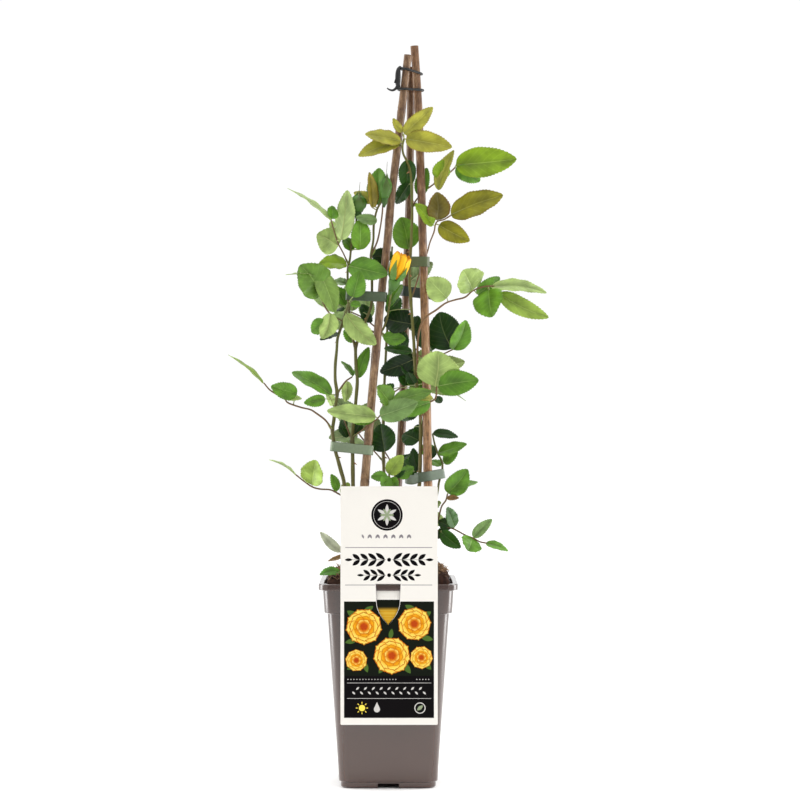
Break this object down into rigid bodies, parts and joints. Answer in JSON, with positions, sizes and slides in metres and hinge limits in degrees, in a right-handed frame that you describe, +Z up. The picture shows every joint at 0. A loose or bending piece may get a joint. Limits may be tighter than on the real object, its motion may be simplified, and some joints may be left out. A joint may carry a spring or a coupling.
{
  "type": "potted climbing rose on bamboo canes",
  "caption": "Young climbing rose in a square plastic pot, its toothed leafy shoots strapped to bamboo canes tied together at the top, with yellow buds and a hanging plant label.",
  "frame": {"origin": "middle of the pot's underside, on the surface it stands on", "axes": "+Z up along the plant's height, the label's face towards -Y, +X to the right seen from the front"},
  "size_m": [0.3512, 0.1511, 0.8093],
  "materials": {
    "pot": "injection-moulded taupe polypropylene with a soft gloss",
    "potting_mix": "loose peat and bark potting mix, matt and crumbly",
    "label": "printed white polypropylene sheet, satin",
    "bamboo": "dry tonkin bamboo, satin skin with brown nodes",
    "tie_wire": "black soft-coated garden tie wire",
    "strap": "soft green flat plant tie, slightly shiny",
    "bark": "rough brown rose bark at the graft union",
    "foliage": "living rose leaves and stems, waxy green with paler undersides",
    "petals": "soft velvety yellow rose petals"
  },
  "bodies": {
    "root": {"pot": "pot", "potting_mix": "potting_mix", "plant_label": "label", "bamboo_cane_left": "bamboo", "bamboo_cane_right": "bamboo", "bamboo_cane_back": "bamboo", "cane_top_tie": "tie_wire", "strap_low_left": "strap", "strap_mid_left": "strap", "strap_high_right": "strap", "strap_back": "strap", "strap_low_right": "strap", "rose_crown": "bark", "rose_shoot_left": "foliage", "rose_shoot_middle": "foliage", "rose_shoot_right": "foliage", "rose_shoot_back": "foliage", "rose_shoot_low_right": "foliage", "rose_twig_low_right": "foliage", "rose_twig_low_middle": "foliage", "rose_twig_low_left": "foliage", "rosebud_petals": "petals", "fallen_leaf": "foliage"}
  },
  "joints": []
}
